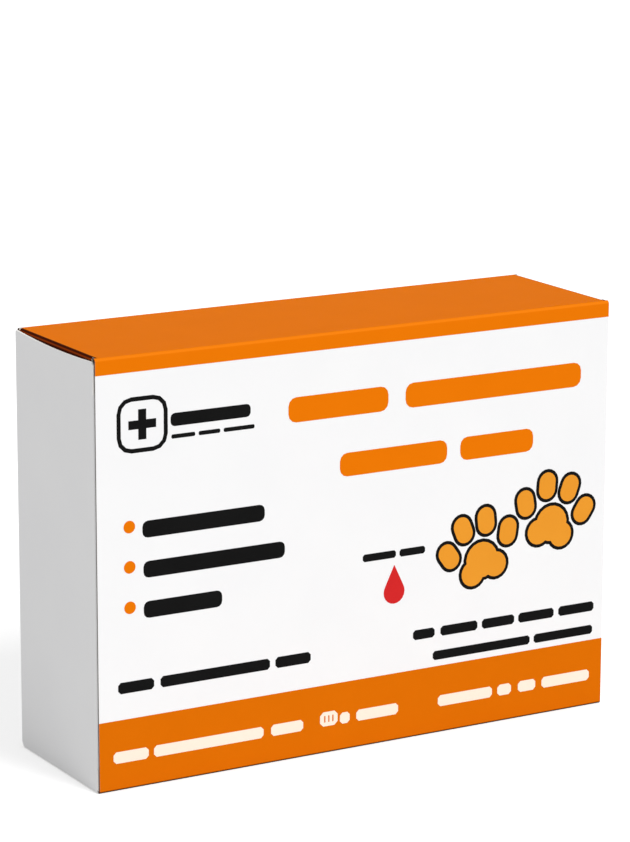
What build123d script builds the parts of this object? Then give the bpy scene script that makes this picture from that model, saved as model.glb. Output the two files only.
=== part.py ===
from build123d import *
from math import acos, atan2, cos, degrees, radians, sin, sqrt, tan
import os

# A tuck-end folding carton for a single test kit. It stands on one long narrow panel, with the kit inside.
# X runs along the tube from the left closure to the right one, Y from front to back, and Z up.
# The origin is the middle of the underside. All sizes are in millimetres.

# Carton, overall
length = 150.8
depth = 44.0
height = 110.0
board = 0.5

# Tube: the four long panels and the glued seam
fold_inside = 0.3
seam_flap = 13.0
seam_taper = 12.0
seam_end_gap = 2.0
seam_setback = 0.5
front_setback = 0.35
end_clear = 0.25

# Dust flaps, hinged on the top and bottom panels behind each closure
dust_length = 28.0
dust_clear = 0.15
dust_front_gap = 2.0
dust_back_gap = 0.9
dust_shoulder = 9.0
dust_notch = 7.0
dust_taper = 8.0
dust_corner = 4.0
dust_relief = 0.3

# Closures: panel, tuck fold and tongue, swinging on the crease at the back panel's end. The upper edge is
# bowed: its gap to the top panel is given at the hinge, at the deepest place of the bow and at the ear.
crease_clear = 0.05
tuck_clear = 0.15
tuck_fold_inside = 0.4
tongue_length = 14.5
tongue_corner = 9.0
tongue_gap = 1.5
slit_top = 8.0
slit_bottom = 6.0
closure_gap_hinge = 0.45
closure_gap_middle = 1.35
closure_gap_ear = 0.9
closure_gap_low = 0.25
closure_bow_place = 0.6
closure_corner = 0.8
low_ear_corner = 1.0
low_hinge_corner = 1.5

# Printing: thickness of one layer of ink, and the fields at the panels' edges
ink = 0.04
band_height = 18.3
band_low = 0.2
wrap_front = 4.2
wrap_back = 1.5

# Artwork, drawn on a grid of cells that is fitted to the front panel: across from its left edge and down
# from its top. The wrap ends and the band starts at a row of their own, and each field holds its marks.
# A line of words is its cap line, its base line and the left and right end of each word. Corners are
# shares of a bar's smaller side.
art_columns = 151
art_rows = 110
wrap_row = 4.2
band_row = 91.7
small_letters = 0.66
bar_corner = 0.35
small_bar_corner = 0.25
corner_steps = 3
disc_steps = 5
title_lines = (
    (12.0, 21.8, ((54.0, 83.2), (88.3, 142.2))),
    (28.2, 37.5, ((69.0, 101.0), (105.0, 127.5))),
)
list_lines = (
    (13.8, 18.8, ((20.8, 43.2),)),
    (39.5, 46.0, ((12.8, 47.2),)),
    (49.8, 56.2, ((13.0, 53.0),)),
    (60.0, 66.5, ((13.0, 35.0),)),
)
note_lines = (
    (20.3, 21.9, ((21.0, 27.6), (28.6, 34.6), (35.6, 44.3))),
    (80.6, 85.0, ((5.7, 15.7), (17.5, 48.7), (50.3, 60.6))),
    (57.7, 60.7, ((75.9, 85.8), (86.9, 94.6))),
    (79.7, 83.7, ((91.2, 97.8), (99.6, 111.0), (112.4, 122.5), (123.8, 135.0), (136.5, 147.8))),
    (86.3, 90.0, ((97.3, 127.5), (128.8, 147.5))),
)
band_lines = (
    (98.3, 102.8, ((4.2, 14.0), (15.5, 46.8), (49.0, 58.4), (69.3, 72.2), (74.2, 86.8))),
    (98.3, 102.8, ((99.0, 115.8), (117.5, 121.8), (124.0, 129.5), (131.5, 146.7))),
)
dot_across = 9.2
dot_rows = (42.7, 52.9, 63.2)
dot_size = 1.6
badge_place = (13.0, 17.3)
badge_size = 14.0
badge_corner = 4.0
badge_line = 1.1
plus_size = 7.6
plus_line = 2.2
drop_place = (85.35, 69.8)
drop_size = 3.15
drop_tall = 7.2
pictogram = (63.4, 68.6, 98.9, 102.7)
pictogram_slots = (64.6, 65.8, 67.0)
pictogram_slot = (0.4, 99.9, 101.7)
paws = ((111.5, 62.5, 24.0, 14.0), (134.2, 55.5, 24.0, -12.0))
paw_line = 0.9

# One paw print in shares of its size: radius and drop of the pad; place, drop and radius of its two lobes;
# half width and extra length of a toe; and place across, rise and lean of each toe, in degrees
paw_pad = (0.20, 0.10)
paw_lobe = (0.15, 0.21, 0.14)
paw_toe = (0.105, 0.09)
paw_toes = ((-0.39, 0.09, 22), (-0.15, 0.31, 8), (0.15, 0.31, -8), (0.39, 0.09, -22))

# Foil pouch, standing on its long edge against the back panel. The levels of its pillow are shares of the
# bulge, each with its inset as a share of the filled height.
pouch_end_gap = 8.85
pouch_headroom = 34.0
pouch_foil = 0.4
pouch_bulge = 3.3
pouch_seal = 9.0
pouch_corner = 0.12
pouch_levels = ((0.0, 0.0), (0.5, 0.05), (0.82, 0.12), (0.96, 0.19), (1.0, 0.26))
pouch_back_gap = 0.2
tear_notch = 2.0

# Folded leaflet, standing in front of the pouch
leaflet_width = 105.0
leaflet_height = 70.0
leaflet_thick = 2.4

# Moulded round ends, drawn straight between these angles from the axis
end_angles = (180, 150, 120, 90)

# Buffer ampoule, lying in front of the leaflet, with its middle at a place along the carton
ampoule_place = -25.0
ampoule_radius = 5.5
ampoule_body = 30.0
ampoule_dome = 2.0
ampoule_neck_radius = 1.9
ampoule_neck = 5.0
ampoule_tab_width = 9.0
ampoule_tab_length = 11.0
ampoule_tab_thick = 1.2
ampoule_tab_corner = 2.5

# Transfer pipette, lying in front of the ampoule
pipette_bulb_radius = 5.0
pipette_bulb = 26.0
pipette_stem_radius = 2.2
pipette_tip_radius = 0.9
pipette_length = 96.0
pipette_drawn = 36.5
kit_gap = 0.4

# Planes and radii that follow from the sizes above. A fold is drawn with a short straight run beside it.
fold_outside = fold_inside + board
fold_run = 3 * fold_outside
x_end = length / 2
x_hinge = x_end - board
x_dust = x_hinge - dust_clear
x_front = x_end - front_setback
x_panel = x_hinge - end_clear
y_face = depth / 2
y_hinge = y_face - board
z_floor = board
reach = depth - 2 * board - tuck_clear
tuck_fold_outside = tuck_fold_inside + board
crease_radius = board
socket_radius = crease_radius + crease_clear


def strip(points, radius, thick, side=Side.RIGHT):
    """Section of a bent strip: a line with rounded corners, thickened to one side of its way."""
    line = FilletPolyline(*points, radius=radius)
    return make_face(line.offset_2d(thick, kind=Kind.ARC, side=side, closed=True).edges())


def along_x(section, half):
    """A section in Y and Z, extruded the same way to the left and to the right."""
    return extrude(Plane.YZ * section, amount=half, both=True)


def block(x0, x1, y0, y1, z0, z1):
    """A box between two corners."""
    middle = Pos((x0 + x1) / 2, (y0 + y1) / 2, (z0 + z1) / 2)
    return middle * Box(x1 - x0, y1 - y0, z1 - z0)


def both_ends(shape):
    """A shape of the right end, with its mirror image at the left end."""
    return shape + mirror(shape, about=Plane.YZ)


def top_and_bottom(shape):
    """A shape at the top panel, with its mirror image at the bottom panel."""
    return shape + mirror(shape, about=Plane.XY.offset(height / 2))


def dust_outline():
    """Outline of a dust flap, seen along X: shoulder and 45 degree notch in front, taper behind."""
    y_front = -y_face + board + dust_front_gap
    y_back = y_hinge - dust_back_gap
    narrow = dust_length * tan(radians(dust_taper))
    lower = height - dust_length
    path = FilletPolyline(
        (y_front, height + board),
        (y_front, height - dust_shoulder),
        (y_front + dust_notch, height - dust_shoulder - dust_notch),
        (y_front + dust_notch + narrow / 2, lower),
        (y_back - narrow, lower),
        (y_back, height + board),
        radius=[dust_corner / 2, dust_corner / 2, dust_corner, dust_corner],
    )
    return make_face(path.edges() + [Line(path @ 0, path @ 1)])


def dust_flap(thick=board, side=Side.RIGHT):
    """Top dust flap of the right end with its fold, or the layer of ink on it."""
    bend = strip(
        [(x_dust - fold_run, height), (x_dust, height), (x_dust, height - dust_length)],
        fold_outside,
        thick,
        side,
    )
    bent = extrude(Plane.XZ * bend, amount=depth, both=True)
    return bent & extrude(Plane.YZ * dust_outline(), amount=length)


def dust_root_cut():
    """Room for the dust flap's fold in the end of the top panel."""
    y_front = -y_face + board + dust_front_gap - dust_relief
    y_back = y_hinge - dust_back_gap + dust_relief
    return block(x_dust - fold_outside, x_end, y_front, y_back, height - fold_outside, height + board)


def end_cut():
    """What the die cuts away behind the closure: only the front panel and its two folds run on past here."""
    return block(x_panel, x_end + board, -y_face + fold_outside, y_face + board, -board, height + board)


def tube():
    """Front, top, back and bottom panels, round to the bottom panel's cut edge at the seam."""
    section = strip(
        [
            (y_face - seam_setback, 0),
            (-y_face, 0),
            (-y_face, height),
            (y_face, height),
            (y_face, board + fold_outside),
        ],
        fold_outside,
        board,
    )
    return along_x(section, x_front)


def seam():
    """Glued flap: the back panel's lower fold and the tapered strip on the bottom panel."""
    section = strip(
        [
            (y_face, board + 2 * fold_outside),
            (y_face, board),
            (y_face - seam_flap, board),
        ],
        fold_outside,
        board,
    )
    y_root = y_face - fold_outside - board
    x_root = x_front - seam_end_gap
    x_tip = x_root - (seam_flap - fold_outside - board) * tan(radians(seam_taper))
    right = Polyline(
        (0, y_face), (x_front, y_face), (x_front, y_root), (x_root, y_root), (x_tip, y_face - seam_flap),
        (0, y_face - seam_flap), close=True,
    )
    plan = extrude(make_face(right.edges()), amount=height)
    return along_x(section, x_front) & both_ends(plan)


def crease():
    """The back panel's last strip at the right end, with the rounded bead that its closure swings on."""
    low = board + fold_outside
    high = height - fold_outside
    panel = block(x_panel - board, x_hinge, y_hinge, y_face, low, high)
    bead = Pos(x_hinge, y_hinge, (low + high) / 2) * Cylinder(crease_radius, high - low)
    return panel + bead


def carton_sleeve():
    """The whole folded sheet without its two closures."""
    shell = tube() + seam() - both_ends(top_and_bottom(dust_root_cut()) + end_cut())
    return shell + both_ends(top_and_bottom(dust_flap()) + crease())


def polar(centre, radius, angle):
    """The point at a radius and an angle in degrees from a centre."""
    return (centre[0] + radius * cos(radians(angle)), centre[1] + radius * sin(radians(angle)))


def rounded(point):
    """A point to a millionth of a millimetre, so that points that fall together are the same."""
    return (round(point[0], 6), round(point[1], 6))


def closure_sections():
    """Plan sections of the left closure: folded, straight as at an ear, and the tongue alone."""
    pivot = (-x_hinge, y_hinge)
    drop = sqrt((reach - tuck_fold_outside) ** 2 - tuck_fold_inside ** 2)
    fold = (-x_end + tuck_fold_outside, y_hinge - drop)
    turn = degrees(atan2(-drop, tuck_fold_inside))
    sweep = degrees(tongue_length / (reach - board / 2))
    tip = turn + sweep
    around = 180 + turn
    horn = degrees(acos(board / socket_radius))
    horn_end = polar(pivot, socket_radius, 180 + horn)
    inner_end = polar(pivot, socket_radius, 270)
    socket = CenterArc(pivot, socket_radius, 180 + horn, 90 - horn)
    outer_tongue = CenterArc(pivot, reach, turn, sweep)
    inner_tongue = CenterArc(pivot, reach - board, turn, sweep)
    tip_line = Line(polar(pivot, reach, tip), polar(pivot, reach - board, tip))
    folded = make_face([
        Line(horn_end, (-x_end, fold[1])),
        CenterArc(fold, tuck_fold_outside, 180, around),
        outer_tongue,
        tip_line,
        inner_tongue,
        CenterArc(fold, tuck_fold_inside, 180, around),
        Line((-x_hinge, fold[1]), inner_end),
        socket,
    ])
    y_ear = y_hinge - reach
    straight = make_face([
        Line(horn_end, (-x_end, y_ear)),
        Line((-x_end, y_ear), (-x_hinge, y_ear)),
        Line((-x_hinge, y_ear), inner_end),
        socket,
    ])
    slit_line = Line(polar(pivot, reach, turn), polar(pivot, reach - board, turn))
    tongue = make_face([outer_tongue, tip_line, inner_tongue, slit_line])
    x_tip = polar(pivot, reach, tip)[0]
    return folded, straight, tongue, x_tip


def closure_outline():
    """Outline of a closure panel, seen along X: its upper edge bows in, its lower one is straight."""
    y_ear = y_hinge - reach
    y_middle = y_hinge - closure_bow_place * reach
    high = ThreePointArc(
        (y_hinge, height - closure_gap_hinge),
        (y_middle, height - closure_gap_middle),
        (y_ear + closure_corner, height - closure_gap_ear),
    )
    ear = FilletPolyline(
        (y_ear, height - closure_gap_ear - closure_corner),
        (y_ear, closure_gap_low),
        (y_hinge, closure_gap_low),
        (y_hinge, height - closure_gap_hinge),
        radius=[low_ear_corner, low_hinge_corner],
    )
    return make_face([high, Line(high @ 1, ear @ 0)] + ear.edges())


def tongue_outline(x_tip):
    """Outline of the tongue, seen along Y, with rounded corners, and all of the panel beside it."""
    low = tongue_gap
    high = height - tongue_gap
    rounded = FilletPolyline(
        (-x_hinge, low), (x_tip, low), (x_tip, high), (-x_hinge, high), radius=tongue_corner,
    )
    tongue = make_face(rounded.edges() + [Line(rounded @ 0, rounded @ 1)])
    panel = Pos(-x_hinge - board, height / 2) * Rectangle(2 * board + tuck_fold_inside, height)
    return tongue + panel


def left_tuck_flap():
    """Left closure in one piece: panel, tuck fold between the two slits, ears and curved tongue."""
    folded, straight, tongue, x_tip = closure_sections()
    low = slit_bottom + closure_gap_low
    high = height - slit_top - closure_gap_ear
    flap = Pos(0, 0, low) * extrude(folded, amount=high - low)
    for start, size in ((0, low), (high, height - high)):
        flap += Pos(0, 0, start) * extrude(straight, amount=size)
        flap += Pos(0, 0, start) * extrude(tongue, amount=size)
    flap &= extrude(Plane.YZ * closure_outline(), amount=length, both=True)
    return flap & extrude(Plane.XZ * tongue_outline(x_tip), amount=depth, both=True)


def art_scale():
    """Size of one cell of the artwork's grid, at which both the white field and the band hold their marks."""
    field = height - wrap_front - band_height
    return min(length / art_columns, field / (band_row - wrap_row), band_height / (art_rows - band_row))


def art_point(across, down):
    """X and Z of a point of the artwork, counted from the upper edge of the band."""
    scale = art_scale()
    return ((across - art_columns / 2) * scale, band_height + (band_row - down) * scale)


def printed(shape, level=1):
    """A flat shape in X and Z as a layer of ink on the front panel, on top of the layers under it."""
    plane = Plane.XZ.offset(y_face + (level - 1) * ink)
    return extrude(plane * shape, amount=ink)


def soft_block(width, tall, corner, steps=corner_steps):
    """A block whose corners are rounded in a few short steps, which is all that flat print needs."""
    points = []
    for quarter, (side, end) in enumerate(((1, 1), (-1, 1), (-1, -1), (1, -1))):
        centre = (side * (width / 2 - corner), end * (tall / 2 - corner))
        points += [polar(centre, corner, 90 * (quarter + step / steps)) for step in range(steps + 1)]
    return make_face(Polyline(*dict.fromkeys(rounded(point) for point in points), close=True).edges())


def soft_disc(radius):
    """A disc in the same short steps."""
    return soft_block(2 * radius, 2 * radius, radius, disc_steps)


def bar(left, right, top, bottom, corner_share=bar_corner, steps=corner_steps):
    """A soft block between two places across and two places down the artwork."""
    x0, z1 = art_point(left, top)
    x1, z0 = art_point(right, bottom)
    corner = corner_share * min(x1 - x0, z1 - z0)
    return Pos((x0 + x1) / 2, (z0 + z1) / 2) * soft_block(x1 - x0, z1 - z0, corner, steps)


def small_bar(left, right, top, bottom):
    """A bar with its corners cut off, for small print."""
    return bar(left, right, top, bottom, small_bar_corner, 1)


def word_bars(lines, shape=bar):
    """One bar for each word of some lines: as wide as the word, as tall as its small letters."""
    return [
        shape(left, right, base - small_letters * (base - cap), base)
        for cap, base, words in lines
        for left, right in words
    ]


def dot(across, down):
    """A round dot in front of a line of the list."""
    return Pos(*art_point(across, down)) * soft_disc(dot_size * art_scale())


def drop_shape():
    """A drop: a circle, and the two straight sides from its tip that touch it."""
    radius = drop_size * art_scale()
    tall = drop_tall * art_scale()
    side = acos(radius / tall)
    touch = (radius * sin(side), radius * cos(side))
    sides = Polyline((0, tall), touch, (0, 0), (-touch[0], touch[1]), close=True)
    return Pos(*art_point(*drop_place)) * (soft_disc(radius) + make_face(sides.edges()))


def badge():
    """A plain rounded square with a plus in it."""
    scale = art_scale()
    outer = badge_size * scale
    inner = outer - 2 * badge_line * scale
    corner = badge_corner * scale
    frame = soft_block(outer, outer, corner)
    frame -= soft_block(inner, inner, corner - badge_line * scale)
    plus = Rectangle(plus_size * scale, plus_line * scale) + Rectangle(plus_line * scale, plus_size * scale)
    return Pos(*art_point(*badge_place)) * (frame + plus)


def paw_pads(across, down, size, turn, grow=0.0):
    """A paw print: one broad pad of three lobes and four toes, each made larger by a margin."""
    margin = grow * art_scale()
    unit = size * art_scale()
    pad_radius, pad_drop = paw_pad
    lobe_place, lobe_drop, lobe_radius = paw_lobe
    toe_half, toe_extra = paw_toe
    pads = Pos(0, -pad_drop * unit) * soft_disc(pad_radius * unit + margin)
    for place in (-lobe_place, lobe_place):
        pads += Pos(place * unit, -lobe_drop * unit) * soft_disc(lobe_radius * unit + margin)
    shapes = [pads]
    for place, rise, lean in paw_toes:
        half = toe_half * unit + margin
        toe = soft_block(2 * half, 2 * half + toe_extra * unit, half, disc_steps)
        shapes.append(Pos(place * unit, rise * unit) * Rot(0, 0, lean) * toe)
    at = Pos(*art_point(across, down)) * Rot(0, 0, turn)
    return [at * shape for shape in shapes]


def print_orange():
    """Orange: the wrap over the top and its dust flaps, the bottom band, the title and the dots."""
    over_top = strip(
        [
            (-y_face, height - wrap_front),
            (-y_face, height),
            (y_face, height),
            (y_face, height - wrap_back),
        ],
        fold_outside,
        ink,
        Side.LEFT,
    )
    wrap = along_x(over_top, x_front) - both_ends(dust_root_cut() + end_cut())
    wrap += both_ends(dust_flap(ink, Side.LEFT))
    down_front = strip(
        [(-y_face, band_height), (-y_face, 0), (-y_face + fold_run, 0)],
        fold_outside,
        ink,
        Side.RIGHT,
    )
    above_fold = block(-length, length, -depth, depth, band_low, height)
    band = along_x(down_front, x_front) & above_fold
    marks = word_bars(title_lines) + [dot(dot_across, down) for down in dot_rows]
    return Compound(children=[wrap, band] + [printed(mark) for mark in marks])


def print_black():
    """Black: badge, words and the outlines of the paw prints."""
    marks = [badge()] + word_bars(list_lines) + word_bars(note_lines, small_bar)
    outlines = Sketch()
    for paw in paws:
        for shape in paw_pads(*paw, grow=paw_line):
            outlines += shape
    return Compound(children=[printed(mark) for mark in marks + [outlines]])


def print_amber():
    """Amber: the pads of the paw prints, on their outlines."""
    shapes = [shape for paw in paws for shape in paw_pads(*paw)]
    return Compound(children=[printed(shape, level=2) for shape in shapes])


def print_red():
    """Red: one drop."""
    return printed(drop_shape())


def print_cream():
    """Cream: the words and the small pictogram of a test, on the bottom band."""
    wide, top, bottom = pictogram_slot
    cassette = small_bar(*pictogram)
    for left in pictogram_slots:
        cassette -= small_bar(left, left + wide, top, bottom)
    marks = word_bars(band_lines, small_bar) + [cassette]
    return Compound(children=[printed(mark, level=2) for mark in marks])


def pouch_layers():
    """Y of the pouch's middle, and of the leaflet's back face, ampoule's axis and pipette's axis."""
    middle = y_hinge - pouch_back_gap - pouch_foil / 2 - pouch_bulge
    leaflet_back = middle - pouch_foil / 2 - pouch_bulge - kit_gap
    ampoule = leaflet_back - leaflet_thick - kit_gap - ampoule_radius
    pipette = ampoule - ampoule_radius - kit_gap - pipette_bulb_radius
    return middle, leaflet_back, ampoule, pipette


def cut_rectangle(width, tall, corner, y):
    """Eight points at one Y round a rectangle in X and Z whose corners are cut off."""
    x, z = width / 2, tall / 2
    right = [(x - corner, y, z), (x, y, z - corner), (x, y, corner - z), (x - corner, y, -z)]
    return right + [(-across, y, -up) for across, _, up in right]


def flat_sided(rings):
    """A solid with flat sides through rings of points, closed by its first and last ring."""
    sides = [
        Face(Wire.make_polygon([low[i - 1], low[i], high[i], high[i - 1]]))
        for low, high in zip(rings, rings[1:])
        for i in range(len(low))
    ]
    return Solid(Shell(sides + [Face(Wire.make_polygon(ring)) for ring in (rings[0], rings[-1])]))


def foil_pouch():
    """Sealed foil pouch: a flat sealed edge all round and a pillow in the middle of both sides."""
    width = 2 * (x_dust - board - pouch_end_gap)
    tall = height - 2 * board - pouch_headroom
    fill_width = width - 2 * pouch_seal
    fill_tall = tall - 2 * pouch_seal
    rings = []
    for share, inset_share in pouch_levels:
        inset = 2 * inset_share * fill_tall
        y = -pouch_foil / 2 - share * pouch_bulge
        rings.append(cut_rectangle(fill_width - inset, fill_tall - inset, pouch_corner * fill_tall, y))
    pillow = flat_sided(rings)
    sheet = Box(width, pouch_foil, tall)
    for x in (-width / 2, width / 2):
        notch = Box(tear_notch, 2 * pouch_foil, tear_notch)
        sheet -= Pos(x, 0, tall / 2 - pouch_seal) * Rot(0, 45, 0) * notch
    pouch = sheet + pillow + mirror(pillow, about=Plane.XZ)
    return Pos(0, pouch_layers()[0], z_floor + board + tall / 2) * pouch


def leaflet():
    """Folded leaflet: a flat pack of paper whose folded edge, at the top, is round."""
    back = pouch_layers()[1]
    low = z_floor + board
    middle = back - leaflet_thick / 2
    radius = leaflet_thick / 2
    top = low + leaflet_height - radius
    section = make_face([
        Line((back, low), (back, top)),
        CenterArc((middle, top), radius, 0, 180),
        Line((back - leaflet_thick, top), (back - leaflet_thick, low)),
        Line((back - leaflet_thick, low), (back, low)),
    ])
    return along_x(section, leaflet_width / 2)


def turned(points):
    """A round body along X, from the points of its outline beside the axis."""
    return revolve(make_face(Polyline(*points, close=True).edges()), axis=Axis.X)


def round_end(radius, corner):
    """Points of a moulded round end at X 0, as a corner of a given radius on a body."""
    return [polar((corner, radius - corner), corner, angle) for angle in end_angles]


def buffer_ampoule():
    """One-piece ampoule lying along X: body with a domed end, shoulder, neck and flat twist-off tab."""
    shoulder = ampoule_body + ampoule_radius - ampoule_neck_radius
    neck_end = shoulder + ampoule_neck
    body = turned([
        (0, 0),
        *round_end(ampoule_radius, ampoule_dome),
        (ampoule_body, ampoule_radius),
        (shoulder, ampoule_neck_radius),
        (neck_end, ampoule_neck_radius),
        (neck_end, 0),
    ])
    tab = soft_block(ampoule_tab_length, ampoule_tab_width, ampoule_tab_corner)
    reach_in = ampoule_neck / 2
    plate = Pos(neck_end - reach_in + ampoule_tab_length / 2, 0, -ampoule_tab_thick / 2) * extrude(
        tab, amount=ampoule_tab_thick,
    )
    middle = (neck_end - reach_in + ampoule_tab_length) / 2
    return Pos(ampoule_place - middle, pouch_layers()[2], z_floor + ampoule_radius) * (body + plate)


def pipette():
    """One-piece pipette: a blown bulb, a stem and a drawn tip, resting on its bulb and its tip."""
    half = pipette_bulb_radius
    rest = pipette_bulb - half
    body = turned([
        *round_end(half, half),
        (rest, half),
        (pipette_bulb, pipette_stem_radius),
        (pipette_length - pipette_drawn, pipette_stem_radius),
        (pipette_length, pipette_tip_radius),
        (pipette_length, 0),
    ])
    lean = degrees(atan2(half - pipette_tip_radius, pipette_length - rest))
    at = Pos(rest - pipette_length / 2, pouch_layers()[3], z_floor + half)
    return at * Rot(0, lean, 0) * Pos(-rest, 0, 0) * body


left_flap = left_tuck_flap()
nodes = {
    "carton_sleeve": carton_sleeve(),
    "left_tuck_flap": left_flap,
    "right_tuck_flap": mirror(left_flap, about=Plane.YZ),
    "print_orange": print_orange(),
    "print_black": print_black(),
    "print_amber": print_amber(),
    "print_red": print_red(),
    "print_cream": print_cream(),
    "foil_pouch": foil_pouch(),
    "leaflet": leaflet(),
    "buffer_ampoule": buffer_ampoule(),
    "pipette": pipette(),
}

os.makedirs("parts", exist_ok=True)
for name, shape in nodes.items():
    export_step(shape, f"parts/{name}.step")
    print(name, round(shape.volume, 1), "mm3")
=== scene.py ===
# %% [markdown]
# # A folding carton for a single test kit
#
# The object is one sheet of coated paperboard: cut, creased, printed, folded into a flat tube and glued
# along one seam. Four dust flaps and two closures shut its ends, and it holds a foil pouch, a leaflet,
# a buffer ampoule and a pipette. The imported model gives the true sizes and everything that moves. This
# script gives the surfaces: coated board, ink, foil, paper and milky plastic, under a plain studio light.

import bmesh
import bpy
import numpy as np
from mathutils import Matrix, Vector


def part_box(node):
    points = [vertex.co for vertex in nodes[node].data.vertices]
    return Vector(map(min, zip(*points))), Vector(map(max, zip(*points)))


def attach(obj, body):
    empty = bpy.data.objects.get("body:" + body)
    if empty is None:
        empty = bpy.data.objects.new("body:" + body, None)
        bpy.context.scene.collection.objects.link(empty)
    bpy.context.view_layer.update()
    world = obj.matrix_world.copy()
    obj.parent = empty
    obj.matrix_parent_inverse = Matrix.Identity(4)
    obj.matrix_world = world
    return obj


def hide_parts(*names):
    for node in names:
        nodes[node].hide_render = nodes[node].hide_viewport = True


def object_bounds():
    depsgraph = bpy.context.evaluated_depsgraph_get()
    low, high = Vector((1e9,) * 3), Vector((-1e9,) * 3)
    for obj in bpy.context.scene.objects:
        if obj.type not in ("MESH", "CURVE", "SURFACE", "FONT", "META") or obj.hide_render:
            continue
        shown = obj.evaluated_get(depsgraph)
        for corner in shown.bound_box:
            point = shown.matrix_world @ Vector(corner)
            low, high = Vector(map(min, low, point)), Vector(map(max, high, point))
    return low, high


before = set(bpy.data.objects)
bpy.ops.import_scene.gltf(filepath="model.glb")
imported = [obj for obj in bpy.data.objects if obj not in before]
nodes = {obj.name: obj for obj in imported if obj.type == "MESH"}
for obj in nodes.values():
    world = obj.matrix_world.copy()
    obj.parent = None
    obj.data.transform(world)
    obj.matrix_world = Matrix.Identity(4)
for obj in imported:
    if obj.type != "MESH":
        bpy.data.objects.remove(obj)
cad_low, cad_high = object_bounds()
bpy.context.scene.view_settings.view_transform = "Standard"
mm = 0.001

# %% [markdown]
# ## Camera
#
# A camera can be placed by eye, but then every later comparison is a guess. This one was worked out from
# the seven corners of the carton that the photograph shows, with the picture's middle as the optical
# axis. It stands 30 degrees to the left of the front, 13 degrees above it and 0.9 m away, with a long
# lens, which is why the upright edges run almost parallel.

# %% Where the camera stands
# Lengths are in metres. Rise and sideways shift the camera along its own upright and level directions.
azimuth = np.radians(-30.26)
elevation = np.radians(13.0)
roll = np.radians(0.17)
distance = 0.8997
rise = 0.02616
sideways = -0.00085

back = np.array([
    np.sin(azimuth) * np.cos(elevation),
    -np.cos(azimuth) * np.cos(elevation),
    np.sin(elevation),
])
level_right = np.array([np.cos(azimuth), np.sin(azimuth), 0.0])
level_up = np.cross(back, level_right)
right = np.cos(roll) * level_right + np.sin(roll) * level_up
up = np.cross(back, right)
carton_middle = (np.array(cad_low) + np.array(cad_high)) / 2
place = carton_middle + distance * back + rise * level_up + sideways * level_right
print("camera at", np.round(place, 3), "looking along", np.round(-back, 3))

# %% The camera and its lens
focal_px = 3465.0
picture_height_px = 842.0
sensor_mm = 36.0
nearest_seen = 0.01
farthest_seen = 50.0


def stand(obj, side, upward, away, at):
    """Turns a camera or lamp by its three axes and puts it at a place."""
    matrix = np.eye(4)
    matrix[:3, :3] = np.column_stack([side, upward, away])
    matrix[:3, 3] = at
    obj.matrix_world = Matrix(matrix.tolist())


camera_data = bpy.data.cameras.new("camera")
camera_data.sensor_width = sensor_mm
camera_data.lens = focal_px / picture_height_px * sensor_mm
camera_data.clip_start = nearest_seen
camera_data.clip_end = farthest_seen
camera = bpy.data.objects.new("camera", camera_data)
bpy.context.scene.collection.objects.link(camera)
stand(camera, right, up, back, place)
bpy.context.scene.camera = camera
print("lens", round(camera_data.lens, 2), "mm")

# %% [markdown]
# ## Helpers for materials
#
# A finish here is a node tree, because a picture would have to be drawn, unwrapped and kept with the
# file. Every tree starts from Object coordinates, so that the finish stays on the piece when the piece
# swings. The first helpers make a node, do arithmetic, and turn a distance into a mask from 0 to 1. Masks
# are then joined as words are: both, either, and the rest.

# %% Nodes and arithmetic
def add(tree, kind, inputs=(), **settings):
    """A shader node with values or links on its numbered or named inputs; returns the node."""
    node = tree.nodes.new("ShaderNode" + kind)
    for name, value in settings.items():
        setattr(node, name, value)
    for key, value in dict(inputs).items():
        if isinstance(value, bpy.types.NodeSocket):
            tree.links.new(value, node.inputs[key])
        else:
            node.inputs[key].default_value = value
    return node


def maths(tree, operation, first, second=0.0, third=0.0):
    """One arithmetic step on numbers or sockets; returns the result's socket."""
    return add(tree, "Math", {0: first, 1: second, 2: third}, operation=operation).outputs[0]


def far_from(tree, value, middle=0.0):
    """The distance of a value from a middle, the same on both sides of it."""
    return maths(tree, "ABSOLUTE", maths(tree, "SUBTRACT", value, middle))


def minus(tree, value):
    """The value with its sign turned, for a mask that looks the other way."""
    return maths(tree, "MULTIPLY", value, -1.0)


# %% Masks
def above(tree, value, edge, softness):
    """A mask that goes from 0 to 1 as a value passes an edge, over a soft width."""
    inputs = {0: value, 1: edge - softness / 2, 2: edge + softness / 2}
    return add(tree, "MapRange", inputs, interpolation_type="SMOOTHSTEP").outputs[0]


def both(tree, first, second):
    """Where two masks hold together: their product."""
    return maths(tree, "MULTIPLY", first, second)


def either(tree, first, second):
    """Where one of two masks holds: the larger."""
    return maths(tree, "MAXIMUM", first, second)


def rest_of(tree, mask):
    """Everywhere else: 1 minus the mask."""
    return maths(tree, "SUBTRACT", 1.0, mask)


# %% Colours
def mix_colours(tree, share, first, second):
    """Two colours mixed by a share."""
    node = add(tree, "Mix", data_type="RGBA")
    for socket, value in (("Factor_Float", share), ("A_Color", first), ("B_Color", second)):
        found = next(item for item in node.inputs if item.identifier == socket)
        if isinstance(value, bpy.types.NodeSocket):
            tree.links.new(value, found)
        else:
            found.default_value = value
    return next(item for item in node.outputs if item.identifier == "Result_Color")


def linear(red, green, blue):
    """A colour written in sRGB from 0 to 255, by that standard's curve, as the linear colour of a shader."""
    value = np.array([red, green, blue]) / 255.0
    dark = value / 12.92
    bright = ((value + 0.055) / 1.055) ** 2.4
    return (*np.where(value <= 0.04045, dark, bright).tolist(), 1.0)


print("a written 128 of 255 is", round(linear(128, 128, 128)[0], 3), "in linear light")


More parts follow.
